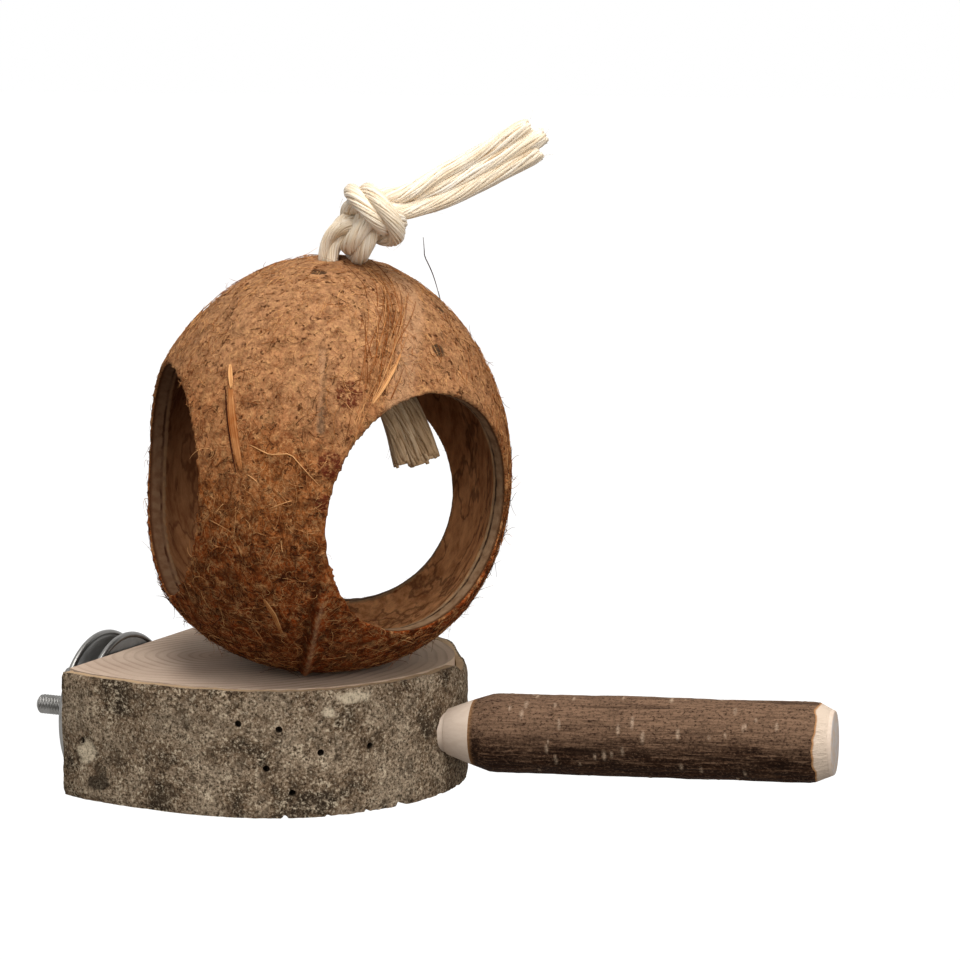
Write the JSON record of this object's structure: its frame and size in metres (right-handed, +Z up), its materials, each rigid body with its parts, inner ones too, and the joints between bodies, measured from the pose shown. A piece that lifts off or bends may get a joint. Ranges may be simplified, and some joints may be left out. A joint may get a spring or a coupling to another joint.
{
  "type": "coconut bird house",
  "caption": "Emptied coconut with large round mouths and a knotted rope, screwed to a barked log slice that carries a perch and hangs on a wire by a dished-disc clamp with a wing nut.",
  "frame": {"origin": "where the clamp stud's axis meets the flat sawn back of the log slice", "axes": "+X out of the flat back towards the perch, +Y along the flat back, +Z up"},
  "size_m": [0.2445, 0.1217, 0.2002],
  "materials": {
    "shell": "rough fibrous",
    "wood": "sawn",
    "bark": "rough bark",
    "perch_wood": "turned",
    "perch_bark": "ribbed bark",
    "rope": "twisted fibre",
    "steel": "zinc plated"
  },
  "bodies": {
    "house": {"log_slice_wood": "wood", "log_slice_bark": "bark", "coconut_shell": "shell", "shell_screw": "steel", "shell_washer": "steel", "perch_wood": "perch_wood", "perch_bark": "perch_bark", "perch_dowel_screw": "steel", "hanger_bolt": "steel", "inner_clamp_disc": "steel", "rope_outer_tail": "rope", "rope_outer_knot": "rope", "rope_inner_knot": "rope", "rope_inner_tail": "rope"},
    "outer_disc": {"outer_clamp_disc": "steel"},
    "wing_nut": {"wing_nut": "steel"}
  },
  "joints": [
    {"name": "clamp_slide", "type": "slide", "parent": "house", "child": "outer_disc", "axis": [-1, 0, 0], "range_m": [-0.005, 0.01]},
    {"name": "wing_nut_turn", "type": "hinge", "parent": "outer_disc", "child": "wing_nut", "pos_m": [-0.016, 0, 0], "axis": [-1, 0, 0], "range_deg": [-1800, 3600]}
  ],
  "couplings": [
    {"joint": "clamp_slide", "follows": "wing_nut_turn", "m_per_rad": 0.00015915}
  ]
}
